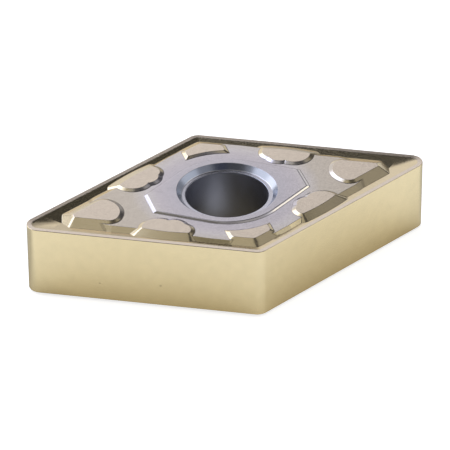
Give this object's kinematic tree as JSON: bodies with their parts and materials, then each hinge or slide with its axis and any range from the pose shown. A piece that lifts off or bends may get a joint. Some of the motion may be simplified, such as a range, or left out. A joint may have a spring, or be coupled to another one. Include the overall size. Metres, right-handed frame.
{
  "type": "carbide insert",
  "caption": "Double-sided 55 degree rhombic turning insert with pressed chip-breakers, raised seat bumps and a countersunk clamping bore.",
  "frame": {"origin": "on the bore axis, in the plane of the lower seats on which the insert rests", "axes": "+Z along the bore axis, up out of the upper seat; +X along the long diagonal, towards one acute cutting corner; +Y along the short diagonal, towards one obtuse corner"},
  "size_m": [0.0256, 0.0142, 0.0049],
  "materials": {
    "coated_carbide": "satin vapour-deposited coating: champagne gold on the flanks, beige on the seats, greyer and slightly lilac towards the bore"
  },
  "bodies": {
    "root": {"insert": "coated_carbide"}
  },
  "joints": []
}
